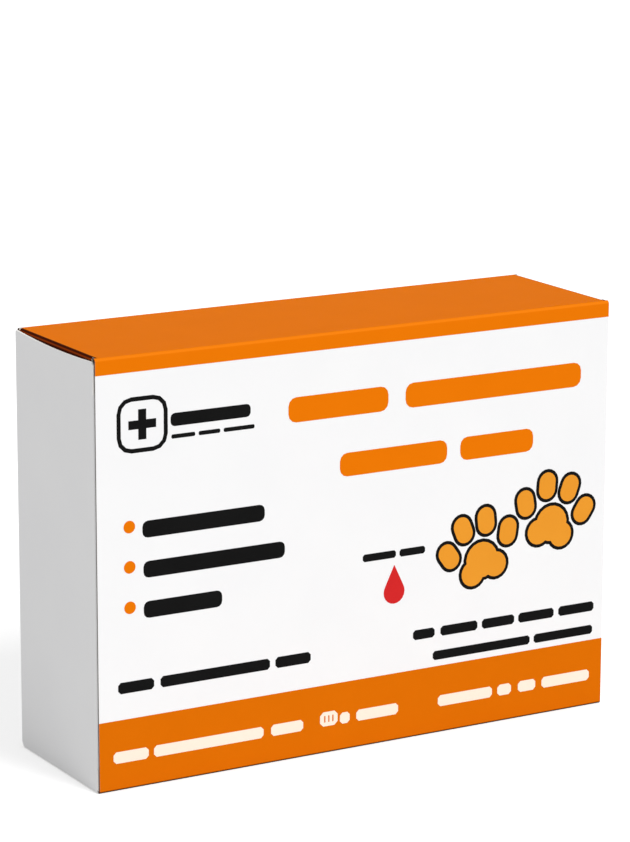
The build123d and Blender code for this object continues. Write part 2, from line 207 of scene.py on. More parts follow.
# %% A material and what its tree starts from
def new_material(name, roughness, specular=0.5):
    """An empty node material with a shader, its output and Texture Coordinates."""
    material = bpy.data.materials.new(name)
    material.use_nodes = True
    tree = material.node_tree
    tree.nodes.clear()
    shader = add(tree, "BsdfPrincipled")
    shader.inputs["Roughness"].default_value = roughness
    shader.inputs["Specular IOR Level"].default_value = specular
    output = add(tree, "OutputMaterial")
    tree.links.new(shader.outputs["BSDF"], output.inputs["Surface"])
    coordinates = add(tree, "TexCoord")
    return material, tree, shader, coordinates


def axes_of(tree, coordinates, kind="Object"):
    """A point's X, Y and Z on the piece, or with the kind Normal the way that the surface looks there."""
    return add(tree, "SeparateXYZ", {0: coordinates.outputs[kind]}).outputs


def wear(node, material):
    """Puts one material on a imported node."""
    slots = nodes[node].data.materials
    slots.clear()
    slots.append(material)
    print(node, "wears", material.name, "with", len(material.node_tree.nodes), "shader nodes")


# %% Texture: noise, and a bump of a real depth
def grain(tree, coordinates, size, detail=3.0):
    """Noise whose lumps are about a size in metres, from 0 to 1."""
    inputs = {"Vector": coordinates.outputs["Object"], "Scale": 1.0 / size, "Detail": detail}
    return add(tree, "TexNoise", inputs).outputs["Fac"]


def raise_bump(tree, shader, height_share, depth, normal=None):
    """A bump of a real depth in metres on a shader, from a height between 0 and 1."""
    inputs = {"Height": height_share, "Distance": depth, "Strength": 1.0}
    if normal is not None:
        inputs["Normal"] = normal
    bump = add(tree, "Bump", inputs).outputs["Normal"]
    tree.links.new(bump, shader.inputs["Normal"])
    return bump


print("a grain of 1 mm is a noise scale of", 1.0 / mm)

# %% [markdown]
# ## Coated board
#
# Carton board is white and smooth outside, where it has a coat of clay, and a little darker, warmer and
# rougher inside. Its cut edge shows the fibre between the two faces. The three could be three materials,
# with each face of the mesh given its own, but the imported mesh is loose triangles. So one material finds
# them from Object coordinates and the surface's own normal: far out means outside, and a face that looks
# along the board's plane is a cut edge. The coat gets a very fine tooth and the inside a longer fibre.

# %% Board colours and the sizes of its texture
coat_colour = linear(246, 246, 246)
coat_shade = linear(241, 241, 242)
inside_colour = linear(236, 233, 225)
inside_shade = linear(224, 219, 208)
# Painted shade: the orange of the print beside a cut edge, darkened.
edge_orange_painted_shade = linear(70, 34, 10)
tooth_size = 0.35 * mm
fibre_size = 1.2 * mm
fibre_detail = 6.0
cloud_size = 20.0 * mm
coat_depth = 0.004 * mm
fibre_depth = 0.012 * mm
coat_roughness = 0.55
inside_roughness = 0.9
edge_roughness_rise = 0.2
board_gloss = 0.12
print("board: tooth", round(tooth_size / mm, 2), "mm, fibre", round(fibre_size / mm, 2), "mm")


# %% The board's material
def board_surface(name, outside_of, edge_of, edge_colour, edge_shade, orange_shade_of=None):
    """Coated board: the functions build masks for the printed side, the cut edges and the painted shade over
    orange on those edges.
    """
    material, tree, shader, coordinates = new_material(name, coat_roughness, board_gloss)
    point = axes_of(tree, coordinates)
    facing = axes_of(tree, coordinates, "Normal")
    outside = outside_of(tree, point, facing)
    edge = edge_of(tree, point, facing)
    cloud = grain(tree, coordinates, cloud_size)
    tooth = grain(tree, coordinates, tooth_size)
    fibre = grain(tree, coordinates, fibre_size, fibre_detail)
    coat = mix_colours(tree, cloud, coat_colour, coat_shade)
    bare = mix_colours(tree, fibre, inside_colour, inside_shade)
    face = mix_colours(tree, outside, bare, coat)
    # The cut edge's colour is painted light: painted shade on the sleeve, a painted highlight on the
    # closures.
    cut = mix_colours(tree, fibre, edge_colour, edge_shade)
    if orange_shade_of is not None:
        cut = mix_colours(tree, orange_shade_of(tree, point), cut, edge_orange_painted_shade)
    tree.links.new(mix_colours(tree, edge, face, cut), shader.inputs["Base Color"])
    rough = maths(tree, "MULTIPLY_ADD", outside, coat_roughness - inside_roughness, inside_roughness)
    rough = maths(tree, "MULTIPLY_ADD", edge, edge_roughness_rise, rough)
    tree.links.new(rough, shader.inputs["Roughness"])
    coat_bump = raise_bump(tree, shader, tooth, coat_depth)
    raise_bump(tree, shader, both(tree, fibre, rest_of(tree, outside)), fibre_depth, coat_bump)
    return material


print("the inside's fibre is", round(fibre_depth / coat_depth, 1), "times as deep as the coat's tooth")

# %% [markdown]
# ### The sleeve's outside
#
# The sleeve is the tube with its four dust flaps. Its printed side is the outer skin of the panels, a few
# hundredths of a millimetre deep, and the outer face of each dust flap. The masks could hold the carton's
# sizes as numbers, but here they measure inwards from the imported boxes, so they follow the real carton.

# %% The sleeve's sizes and its outside
sleeve_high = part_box("carton_sleeve")[1]
half_depth = sleeve_high[1]
height = sleeve_high[2]
half_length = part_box("right_tuck_flap")[1][0]
board = 0.5 * mm
closure_gap = 0.15 * mm
dust_face = half_length - board - closure_gap
# A mask's edge lies one skin inside the surface and is one skin soft.
skin = 0.06 * mm
# How much a face has to look along an axis, from 0, edge on, to 1, square on.
half_turned = 0.5
half_turned_blur = 0.1


def sleeve_panels(tree, point):
    """The outer skin of the four panels."""
    at_side = above(tree, far_from(tree, point["Y"]), half_depth - skin, skin)
    at_level = above(tree, far_from(tree, point["Z"], height / 2), height / 2 - skin, skin)
    return either(tree, at_side, at_level)


def sleeve_outside(tree, point, facing):
    """Outside is the outer skin of the tube, or the outer face of a dust flap."""
    at_flap = above(tree, far_from(tree, point["X"]), dust_face - skin, skin)
    outward = above(tree, far_from(tree, facing["X"]), half_turned, half_turned_blur)
    return either(tree, sleeve_panels(tree, point), both(tree, at_flap, outward))


print("carton", [round(size / mm, 1) for size in (2 * half_length, 2 * half_depth, height)], "mm")

# %% [markdown]
# ### The sleeve's cut edges
#
# The die that cuts the sheet leaves a raw edge. Its colour here is painted shade: grey where the panel's
# end stands in the closure's shade, and dark brown beside the wrap and beside the band, where the shade
# falls on the orange of the print. The edges could be separate strips of mesh, but a mask costs nothing
# and can't come away from the board.

# %% The sleeve's cut edges, and its material
square_on = 0.9
square_on_blur = 0.05
# The front panel's edge is looked for this close to the front.
front_zone = 2.0 * mm
# The ends of the top and bottom lie up to this far inside the dust flaps' faces.
end_slack = 0.1 * mm
# The wrap's lower border and the band's upper one, both measured as heights.
wrap_low = height - 4.2 * mm
band_high = 18.3 * mm
stain_blur = 0.4 * mm
# Painted shade: the sleeve's cut edges are coloured grey where the closure shades them.
edge_painted_shade = linear(128, 124, 120)
edge_painted_shade_dark = linear(104, 100, 94)


def sleeve_edge(tree, point, facing):
    """Where the die has cut: the front panel past the dust flaps, and the ends of the top and bottom."""
    x_far = far_from(tree, point["X"])
    z_far = far_from(tree, point["Z"], height / 2)
    in_front = above(tree, minus(tree, point["Y"]), half_depth - front_zone, skin)
    front = both(tree, above(tree, x_far, dust_face + skin, skin), in_front)
    cut_end = above(tree, far_from(tree, facing["X"]), square_on, square_on_blur)
    level = both(tree, above(tree, z_far, height / 2 - board - skin, skin), cut_end)
    level = both(tree, level, above(tree, x_far, dust_face - end_slack - skin, skin))
    return both(tree, either(tree, front, level), rest_of(tree, sleeve_panels(tree, point)))


def sleeve_orange_shade(tree, point):
    """Painted shade over orange on the cut edge, beside the wrap and beside the bottom band."""
    at_wrap = above(tree, point["Z"], wrap_low, stain_blur)
    over_band = above(tree, point["Z"], band_high, stain_blur)
    return either(tree, at_wrap, rest_of(tree, over_band))


sleeve_board = board_surface(
    "sleeve_board", sleeve_outside, sleeve_edge, edge_painted_shade, edge_painted_shade_dark, sleeve_orange_shade,
)
wear("carton_sleeve", sleeve_board)

# %% [markdown]
# ### The closures
#
# A closure is the end panel, a fold, and a tongue that tucks in behind the front. Its sides are slit, and
# each slit leaves a small ear that looks forward. The sheet's own edges are coloured nearly white here, a
# painted highlight for the light that they catch. The masks ask which way a face looks, because the tongue
# is curved and no flat limit would follow it.

# %% Board of the closures
# The fold starts this far forward. The lower ear ends this far above the closure's lower end, and the
# upper ear starts this far below the carton's top.
fold_start = 20.3 * mm
lower_ear = 6.0 * mm
upper_ear = 8.9 * mm
forward_turn = 0.3
level_turn = 0.7
turn_blur = 0.1
# Painted highlight: the closures' cut edges are coloured nearly white, brighter than the coat.
edge_painted_highlight = linear(255, 255, 253)
edge_painted_highlight_shade = linear(250, 246, 238)
closure_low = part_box("left_tuck_flap")[0][2]


def closure_outside(tree, point, facing):
    """Outside is the closure's far face, the fold's outer side and the tongue's face to the front."""
    outer = above(tree, far_from(tree, point["X"]), half_length - skin, skin)
    forward = above(tree, minus(tree, facing["Y"]), forward_turn, turn_blur)
    turned = above(tree, minus(tree, point["Y"]), fold_start, skin)
    return either(tree, outer, both(tree, forward, turned))


def closure_edge(tree, point, facing):
    """Cut edges look up or down, and forward at the two ears beside the slits."""
    level = above(tree, far_from(tree, facing["Z"]), level_turn, turn_blur)
    over_upper = above(tree, point["Z"], height - upper_ear, skin)
    over_lower = above(tree, point["Z"], closure_low + lower_ear, skin)
    at_ear = either(tree, over_upper, rest_of(tree, over_lower))
    forward = above(tree, minus(tree, facing["Y"]), square_on, square_on_blur)
    in_panel = above(tree, far_from(tree, point["X"]), half_length - board - skin, skin)
    return either(tree, level, both(tree, both(tree, at_ear, forward), in_panel))


closure_board = board_surface("closure_board", closure_outside, closure_edge, edge_painted_highlight, edge_painted_highlight_shade)
wear("left_tuck_flap", closure_board)
wear("right_tuck_flap", closure_board)

# %% [markdown]
# ## Ink
#
# The print is solid ink with very little gloss. It could be painted into the board's material, but each
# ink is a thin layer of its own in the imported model, so it only needs a finish: two close tones in soft
# clouds, as offset ink varies by a percent or two from place to place, and a fine tooth that breaks up
# its sheen.

# %% Solid ink
ink_cloud = 12.0 * mm
ink_depth = 0.003 * mm
ink_roughness = 0.55
ink_gloss = 0.005
plain_inks = {
    "black": (linear(20, 20, 20), linear(26, 26, 26)),
    "amber": (linear(237, 157, 50), linear(230, 148, 44)),
    "red": (linear(212, 44, 44), linear(204, 38, 40)),
    "cream": (linear(252, 240, 224), linear(250, 236, 216)),
}


def ink(name, colour, shade):
    """Solid ink: two close tones in soft clouds and a fine tooth."""
    material, tree, shader, coordinates = new_material(name, ink_roughness, ink_gloss)
    tone = mix_colours(tree, grain(tree, coordinates, ink_cloud), colour, shade)
    raise_bump(tree, shader, grain(tree, coordinates, tooth_size), ink_depth)
    tree.links.new(tone, shader.inputs["Base Color"])
    return material, tree, shader, coordinates, tone


for ink_name, (colour, shade) in plain_inks.items():
    wear("print_" + ink_name, ink(ink_name + "_ink", colour, shade)[0])

# %% [markdown]
# ### Orange ink
#
# The orange runs over the folds, and there its colour carries painted light. It is lighter along the fold
# between front and top, a painted highlight. It is nearly black where it turns down into the gap above a
# closure, painted shade with one thin line of painted light, and dark along the lower fold, painted shade
# again. The lamps alone can't give this, because the gap is a fraction of a millimetre wide, so the tones
# are in the ink. The band is printed a little deeper than the wrap.

# %% Orange tones, and the places where they change
wrap_orange = linear(236, 121, 7)
wrap_orange_shade = linear(231, 117, 4)
band_orange = linear(221, 111, 6)
band_orange_shade = linear(217, 108, 4)
# Painted highlight along the fold between front and top.
fold_painted_highlight = linear(240, 127, 16)
# Painted shade in the gap above a closure, and its thin line of painted light.
gap_painted_shade = linear(66, 18, 2)
gap_painted_light = linear(150, 58, 10)
# Painted shade along the front's lower fold, by the floor.
low_fold_painted_shade = linear(56, 22, 2)

# The gap's painted shade reaches this far in from a dust flap's face, down from the top, and forward from the
# middle.
gap_width = 0.75 * mm
gap_width_blur = 0.3 * mm
gap_depth = 2.4 * mm
gap_depth_blur = 1.2 * mm
gap_front = 21.2 * mm
# The line of painted light in the gap: how far below the top, and half its width.
glow_depth = 0.55 * mm
glow_half = 0.18 * mm
glow_blur = 0.2 * mm
# The upper fold is found by how its face turns, and the lower one by its height.
fold_turn = 0.2
fold_turn_blur = 0.3
low_fold = 0.55 * mm
low_fold_blur = 0.3 * mm
print("the gap's ink is dark down to", round(gap_depth / mm, 1), "mm below the top")


# %% Masks of the orange ink
def in_gap(tree, point):
    """Where the ink gets painted shade as it turns down at an end of the tube: far out, near the top and
    behind the front.
    """
    turned_in = above(tree, far_from(tree, point["X"]), dust_face - gap_width, gap_width_blur)
    near_top = above(tree, point["Z"], height - gap_depth, gap_depth_blur)
    behind_front = above(tree, point["Y"], -gap_front, skin)
    return both(tree, both(tree, turned_in, near_top), behind_front)


def on_gap_light_line(tree, point):
    """The thin line of painted light in the gap, at one height below the top."""
    from_line = far_from(tree, point["Z"], height - glow_depth)
    return rest_of(tree, above(tree, from_line, glow_half, glow_blur))


def on_fold(tree, facing):
    """The fold between front and top looks forward and up at once: minus y times z is well over 0."""
    turning = both(tree, facing["Y"], facing["Z"])
    return above(tree, minus(tree, turning), fold_turn, fold_turn_blur)


def in_band(tree, point):
    """The low part of the front: 1 up to one and a half times the band's height, 0 from two and a half."""
    return rest_of(tree, above(tree, point["Z"], 2 * band_high, band_high))


def on_low_fold(tree, point):
    """The front's lowest half millimetre, which gets painted shade."""
    return rest_of(tree, above(tree, point["Z"], low_fold, low_fold_blur))


print("the line of light lies", round(glow_depth / mm, 2), "mm below the top")

# %% Orange ink
orange, tree, shader, coordinates, tone = ink("orange_ink", wrap_orange, wrap_orange_shade)
point = axes_of(tree, coordinates)
facing = axes_of(tree, coordinates, "Normal")
band_tone = mix_colours(tree, grain(tree, coordinates, ink_cloud), band_orange, band_orange_shade)
tone = mix_colours(tree, in_band(tree, point), tone, band_tone)
# Painted highlight on the fold between front and top.
tone = mix_colours(tree, on_fold(tree, facing), tone, fold_painted_highlight)
# Painted shade in the gap above a closure, with a thin line of painted light.
gap_painted_tone = mix_colours(tree, on_gap_light_line(tree, point), gap_painted_shade, gap_painted_light)
tone = mix_colours(tree, in_gap(tree, point), tone, gap_painted_tone)
# Painted shade at the foot of the front.
tone = mix_colours(tree, on_low_fold(tree, point), tone, low_fold_painted_shade)
tree.links.new(tone, shader.inputs["Base Color"])
wear("print_orange", orange)

# %% [markdown]
# ## What the carton holds
#
# Here they are surfaces worked out on grids of two parameters, each inside the solid that it stands
# for, because a formula gives the same mesh each run and its few numbers can be changed. One helper
# turns grids into a mesh, joins the points that fall together at poles and seams, and puts the piece in
# the place of its solid.

# %% Faces of grids and rings
def grid_faces(rows, columns, start=0, flip=False):
    """Four-sided faces between neighbouring points of a grid that is stored row after row."""
    corner = start + np.arange(rows - 1)[:, None] * columns + np.arange(columns - 1)[None, :]
    faces = np.stack([corner, corner + 1, corner + columns + 1, corner + columns], axis=-1).reshape(-1, 4)
    return faces[:, ::-1] if flip else faces


def ring_faces(rings, size, flip=False):
    """Four-sided faces between closed rings of points, stored ring after ring."""
    ring = np.arange(rings - 1)[:, None] * size
    first = np.arange(size)[None, :]
    second = (first + 1) % size
    corners = [ring + first, ring + second, ring + size + second, ring + size + first]
    faces = np.stack(corners, axis=-1).reshape(-1, 4)
    return faces[:, [0, 3, 2, 1]] if flip else faces


print("a grid of 3 by 3 points has", len(grid_faces(3, 3)), "faces")

# %% A finished piece
same_place = 0.0001 * mm


def make_piece(name, points, faces, node, material):
    """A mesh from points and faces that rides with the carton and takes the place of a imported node."""
    mesh = bpy.data.meshes.new(name)
    mesh.from_pydata(points.tolist(), [], faces.tolist())
    joined = bmesh.new()
    joined.from_mesh(mesh)
    bmesh.ops.remove_doubles(joined, verts=joined.verts, dist=same_place)
    joined.to_mesh(mesh)
    joined.free()
    mesh.shade_smooth()
    mesh.materials.append(material)
    piece = bpy.data.objects.new(name, mesh)
    bpy.context.scene.collection.objects.link(piece)
    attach(piece, "carton")
    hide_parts(node)
    print(name, "points", len(mesh.vertices), "faces", len(mesh.polygons))
    return piece


# %% Profiles that ease, and surfaces turned about X
def smooth_step(value):
    """3 t squared minus 2 t cubed, with t kept between 0 and 1."""
    t = np.clip(value, 0.0, 1.0)
    return t * t * (3 - 2 * t)


def profile_through(stations, radii, steps=14):
    """A profile that eases from each radius to the next one along its stations."""
    share = np.linspace(0, 1, steps, endpoint=False)
    starts, ends = np.array(stations[:-1])[:, None], np.array(stations[1:])[:, None]
    along = (starts + (ends - starts) * share).ravel()
    low, high = np.array(radii[:-1])[:, None], np.array(radii[1:])[:, None]
    radius = (low + (high - low) * smooth_step(share)).ravel()
    return np.append(along, stations[-1]), np.append(radius, radii[-1])


def round_cap(length, radius, steps=12):
    """A quarter of an ellipse from the axis out to a radius: x = l (1 - cos a) and r = R sin a."""
    angle = np.linspace(0, np.pi / 2, steps, endpoint=False)
    return length * (1 - np.cos(angle)), radius * np.sin(angle)


def turned_surface(along, radius, segments=64):
    """A profile turned about X: point (x, r) goes to (x, r cos a, r sin a) at each angle a round it."""
    angle = np.linspace(0, 2 * np.pi, segments, endpoint=False)
    points = np.stack([
        np.repeat(along[:, None], segments, axis=1),
        radius[:, None] * np.cos(angle),
        radius[:, None] * np.sin(angle),
    ], axis=-1).reshape(-1, 3)
    return points, ring_faces(len(along), segments)


print("half way through a smooth step:", smooth_step(0.5))

# %% [markdown]
# ### Foil pouch
#
# Two webs of laminate are sealed together round the edge, and the cassette inside lifts them into a
# pillow. Cloth simulation could blow it up, but foil doesn't stretch or swell as cloth does, and a formula
# keeps the seal flat. The height of each side depends on the distance to the seal: it rises steeply and
# then levels off. A soft minimum of three distances rounds the corners, sine folds fan out where the foil
# is pulled in, and the cassette shows as a low block. A narrow rim joins the sides, so it is closed.

# %% Foil pouch: sizes and grid
pouch_low, pouch_high = np.array(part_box("foil_pouch"))
pouch_middle = (pouch_low + pouch_high) / 2
pouch_half = (pouch_high - pouch_low) / 2
seal_width = 9.0 * mm
rim_thickness = 0.36 * mm
cut_corner = 6.8 * mm
fill_x = pouch_half[0] - seal_width
fill_z = pouch_half[2] - seal_width
pouch_step = 0.65 * mm
columns = int(2 * pouch_half[0] / pouch_step)
rows = int(2 * pouch_half[2] / pouch_step)
across, upward = np.meshgrid(
    np.linspace(-pouch_half[0], pouch_half[0], columns), np.linspace(-pouch_half[2], pouch_half[2], rows),
)
print("pouch", np.round(2 * pouch_half / mm, 1), "mm, filled", np.round(2 * fill_x / mm, 1), "mm wide")

# %% Foil pouch: how far each web is lifted
rise_width = 15.0 * mm
corner_blend = 0.45 / mm
cassette_half = np.array([36.0, 11.0]) * mm
cassette_side = 3.0 * mm
cassette_share = 0.18


def distance_to_seal(across, upward):
    """A soft minimum of three distances d, to side, end and cut corner: -log(sum of exp(-k d)) / k."""
    side_x = fill_x - np.abs(across)
    side_z = fill_z - np.abs(upward)
    diagonal = (fill_x + fill_z - cut_corner - np.abs(across) - np.abs(upward)) / np.sqrt(2)
    return -np.log(sum(np.exp(-corner_blend * part) for part in (side_x, side_z, diagonal))) / corner_blend


def pillow(across, upward):
    """0 in the seal, and 1 from a width w inside it: 1 minus (1 - d / w) cubed."""
    inset = distance_to_seal(across, upward)
    return 1 - (1 - np.clip(inset / rise_width, 0, 1)) ** 3


def cassette_block(across, upward):
    """1 over the cassette and 0 beside it, with an eased step along each side."""
    block_x = smooth_step((cassette_half[0] - np.abs(across)) / cassette_side + 0.5)
    block_z = smooth_step((cassette_half[1] - np.abs(upward)) / cassette_side + 0.5)
    return block_x * block_z


dome = pillow(across, upward)
print("pillow from", round(float(dome.min()), 3), "to", round(float(dome.max()), 3))

# %% Foil pouch: folds, rim and notches
# Folds are waves round the middle, each kind with its share. The coarse ones are spaced unevenly.
coarse_folds, fine_folds = 26, 47
coarse_share, fine_share = 0.6, 0.4
coarse_swing, swing_turns = 3, 3
fine_start = 1.3
# The folds take away up to twice this share of the height, half way up the pillow's side.
fold_share = 0.10
rim_wave_height = 0.05 * mm
rim_wave_x = 4.1 * mm
rim_wave_z = 9.0 * mm
rim_wave_swing = 2
notch_half = 1.4 * mm
notch_reach = 1.5 * pouch_step


def fanned_folds(across, upward):
    """Two sine waves of the angle about the middle, one of them uneven, added by their shares."""
    fan = np.arctan2(upward * fill_x / fill_z, across)
    coarse = np.sin(coarse_folds * fan + coarse_swing * np.sin(swing_turns * fan))
    fine = np.sin(fine_folds * fan + fine_start)
    return coarse * coarse_share + fine * fine_share


def rim_wave(across, upward):
    """The seal's slight waviness: a sine along X whose start sways with a sine along Z."""
    return rim_wave_height * np.sin(across / rim_wave_x + rim_wave_swing * np.sin(upward / rim_wave_z))


def tear_notch(across, upward):
    """A small V cut into each side edge, level with the filling's upper end, as deep as it is half wide."""
    notch = np.clip(1 - np.abs(upward - fill_z) / notch_half, 0, 1) * notch_half
    return np.where(np.abs(across) > pouch_half[0] - notch_reach, notch, 0)


slope = 4 * dome * (1 - dome)
lift = pouch_half[1] - rim_thickness / 2
blocked = 1 - cassette_share + cassette_share * cassette_block(across, upward)
bulge = lift * dome * blocked * (1 - fold_share * slope * (1 + fanned_folds(across, upward)))
wave = rim_wave(across, upward) * (1 - dome)
print("the web is lifted by up to", round(float(bulge.max()) / mm, 2), "mm")

# %% Foil pouch: points and faces
sheet_x = np.sign(across) * (np.abs(across) - tear_notch(across, upward))
front_side = np.stack([sheet_x, -rim_thickness / 2 - bulge + wave, upward], axis=-1).reshape(-1, 3)
rear_side = np.stack([sheet_x, rim_thickness / 2 + bulge + wave, upward], axis=-1).reshape(-1, 3)
pouch_points = np.concatenate([front_side, rear_side]) + pouch_middle
count = rows * columns
rim = np.concatenate([
    np.arange(columns),
    np.arange(1, rows) * columns + columns - 1,
    (rows - 1) * columns + np.arange(columns - 2, -1, -1),
    np.arange(rows - 2, 0, -1) * columns,
])
rim_next = np.roll(rim, -1)
rim_faces = np.stack([rim, rim + count, rim_next + count, rim_next], axis=-1)
pouch_faces = np.concatenate([
    grid_faces(rows, columns),
    grid_faces(rows, columns, count, True),
    rim_faces,
])
print("grid of", rows, "by", columns, "points on each side, and", len(rim_faces), "faces round the rim")

# %% [markdown]
# ### Foil laminate
#
# The webs are aluminium foil between films: a metal with a soft gloss, finely crinkled, and pressed into
# small ribs along the sealed ends. Crinkles and ribs are a fraction of a millimetre high, so they are
# bump. The folds and the cassette are large enough to change the outline, so they are in the mesh.

# %% Foil laminate, and the pouch
foil_colour = linear(206, 208, 212)
foil_shade = linear(190, 193, 198)
foil_roughness = 0.34
foil_cloud = 15.0 * mm
crinkle_size = 4.0 * mm
crinkle_detail = 5.0
crinkle_depth = 0.22 * mm
rib_pitch = 0.8 * mm
rib_depth = 0.04 * mm
rib_start = 1.0 * mm
rib_start_blur = 0.5 * mm

foil, tree, shader, coordinates = new_material("foil_laminate", foil_roughness)
shader.inputs["Metallic"].default_value = 1.0
foil_tone = mix_colours(tree, grain(tree, coordinates, foil_cloud), foil_colour, foil_shade)
tree.links.new(foil_tone, shader.inputs["Base Color"])
point = axes_of(tree, coordinates)
ribs = maths(tree, "SINE", maths(tree, "MULTIPLY", point["Z"], 2 * np.pi / rib_pitch))
at_seal = above(tree, far_from(tree, point["X"]), float(fill_x + rib_start), rib_start_blur)
crinkle_bump = raise_bump(tree, shader, grain(tree, coordinates, crinkle_size, crinkle_detail), crinkle_depth)
raise_bump(tree, shader, both(tree, ribs, at_seal), rib_depth, crinkle_bump)
make_piece("sealed_foil_pouch", pouch_points, pouch_faces, "foil_pouch", foil)

# %% [markdown]
# ### Leaflet
#
# The instructions are one sheet, pleated into four layers and then folded once in half, so that its
# leaves nest round each other at the top. A stack of thin boxes would have no folds, and real folds show
# at the carton's mouth. So the section is one centre line, which runs up, turns in a half circle about
# the middle of the pack, runs down and steps in to the next leaf. It gets the paper's thickness on both
# sides and is carried along X.

# %% Leaflet: the line of the folded sheet
leaf_low, leaf_high = np.array(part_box("leaflet"))
leaf_middle_y = (leaf_low[1] + leaf_high[1]) / 2
leaves = 4
leaf_pitch = (leaf_high[1] - leaf_low[1]) / (2 * leaves)
paper = 0.11 * mm
foot = leaf_low[2] + leaf_pitch / 2 + paper / 2
fold_centre_z = leaf_high[2] - (leaf_high[1] - leaf_low[1]) / 2
run_steps = 24
turn_steps = 13
pleat_steps = 7


def leaf_path():
    """Up one side, over the top in a half circle, down the other and in to the next leaf."""
    parts = []
    way = -1.0
    run = np.linspace(foot, fold_centre_z, run_steps)
    over = np.linspace(0, np.pi, turn_steps)[1:-1]
    pleat = np.linspace(0, np.pi, pleat_steps)[1:-1]
    for leaf in range(leaves):
        radius = (leaves - leaf - 0.5) * leaf_pitch
        parts.append(np.stack([np.full(run_steps, way * radius), run], axis=-1))
        parts.append(np.stack([way * radius * np.cos(over), fold_centre_z + radius * np.sin(over)], axis=-1))
        parts.append(np.stack([np.full(run_steps, -way * radius), run[::-1]], axis=-1))
        if leaf < leaves - 1:
            middle = -way * (radius - leaf_pitch / 2)
            drop = foot - leaf_pitch / 2 * np.sin(pleat)
            parts.append(np.stack([middle - way * leaf_pitch / 2 * np.cos(pleat), drop], axis=-1))
        way = -way
    return np.concatenate(parts)


centre = leaf_path()
sheet_length = np.linalg.norm(np.diff(centre, axis=0), axis=1).sum()
print("the unfolded sheet is", round(float(sheet_length) / mm), "mm long")

# %% Leaflet: the sheet's thickness, carried along X
sheet_sections = 29
tangent = np.gradient(centre, axis=0)
tangent /= np.linalg.norm(tangent, axis=1)[:, None]
half_sheet = np.stack([-tangent[:, 1], tangent[:, 0]], axis=-1) * paper / 2
section = np.concatenate([centre + half_sheet, (centre - half_sheet)[::-1]])
section_size = len(section)
stations = np.linspace(leaf_low[0], leaf_high[0], sheet_sections)
leaf_points = np.stack([
    np.repeat(stations[:, None], section_size, axis=1),
    leaf_middle_y + np.repeat(section[None, :, 0], sheet_sections, axis=0),
    np.repeat(section[None, :, 1], sheet_sections, axis=0),
], axis=-1).reshape(-1, 3)
inner = np.arange(section_size // 2 - 1)
cap = np.stack([inner, inner + 1, section_size - 2 - inner, section_size - 1 - inner], axis=-1)
last = (sheet_sections - 1) * section_size
leaf_faces = np.concatenate([ring_faces(sheet_sections, section_size, True), cap, cap[:, ::-1] + last])
print("section of", section_size, "points at", sheet_sections, "places along X")

# %% [markdown]
# ### Leaflet paper
#
# Thin uncoated paper, matt and a little grey, with close print. Real text would be lettering, which this
# part doesn't have, and it would be too small to read from where it is seen. So the print is plain grey
# strokes: a wave gives the lines and noise breaks them into words, with a clear margin at both ends.

# %% Leaflet paper, and the leaflet
paper_colour = linear(240, 240, 236)
paper_shade = linear(233, 233, 228)
stroke_colour = linear(120, 122, 126)
paper_roughness = 0.85
paper_gloss = 0.2
paper_cloud = 10.0 * mm
paper_grain = 0.6 * mm
paper_grain_detail = 4.0
paper_depth = 0.01 * mm
line_pitch = 2.6 * mm
line_edge, line_blur = 0.55, 0.2
word_size = 2.2 * mm
word_detail = 1.0
word_edge, word_blur = 0.47, 0.04
margin = 6.0 * mm
margin_blur = 0.4 * mm

paper_finish, tree, shader, coordinates = new_material("leaflet_paper", paper_roughness, paper_gloss)
paper_tone = mix_colours(tree, grain(tree, coordinates, paper_cloud), paper_colour, paper_shade)
point = axes_of(tree, coordinates)
line_wave = maths(tree, "SINE", maths(tree, "MULTIPLY", point["Z"], 2 * np.pi / line_pitch))
on_line = above(tree, line_wave, line_edge, line_blur)
in_word = above(tree, grain(tree, coordinates, word_size, word_detail), word_edge, word_blur)
past_margin = above(tree, far_from(tree, point["X"]), float(leaf_high[0]) - margin, margin_blur)
stroke = both(tree, both(tree, on_line, in_word), rest_of(tree, past_margin))
sheet_tone = mix_colours(tree, stroke, paper_tone, stroke_colour)
tree.links.new(sheet_tone, shader.inputs["Base Color"])
raise_bump(tree, shader, grain(tree, coordinates, paper_grain, paper_grain_detail), paper_depth)
make_piece("folded_leaflet", leaf_points, leaf_faces, "leaflet", paper_finish)

# %% [markdown]
# ### Milky polyethylene
#
# The ampoule and the pipette are blown or moulded in one piece from soft polyethylene. It lets light
# through but no clear view. Rough glass alone would look frosted and hard, so the shader mixes three
# things: some light passes, some goes a little way in and comes out again, and a soft gloss lies on top.

# %% Milky polyethylene
milky_colour = linear(238, 241, 243)
milky_shade = linear(228, 233, 237)
milky_roughness = 0.32
milky_gloss = 0.45
milky_cloud = 6.0 * mm
milky_grain = 1.2 * mm
milky_depth = 0.015 * mm
milky_settings = {
    "Transmission Weight": 0.45,
    "IOR": 1.3,
    "Subsurface Weight": 0.25,
    "Subsurface Scale": 2.0 * mm,
}

milky, tree, shader, coordinates = new_material("milky_polyethylene", milky_roughness, milky_gloss)
cloudy = mix_colours(tree, grain(tree, coordinates, milky_cloud), milky_colour, milky_shade)
tree.links.new(cloudy, shader.inputs["Base Color"])
for socket, value in milky_settings.items():
    shader.inputs[socket].default_value = value
raise_bump(tree, shader, grain(tree, coordinates, milky_grain), milky_depth)
print(milky.name, "has", len(tree.nodes), "shader nodes")

# %% [markdown]
# ### Buffer ampoule
#
# The ampoule is a small round bottle that ends in a thin tab, which is twisted off to open it. The Spin
# tool could turn the bottle, but a profile in code eases from one radius to the next by itself, so that
# no edge is sharp. The tab is a slab whose outline and edge are rounded by powers of sines and cosines.

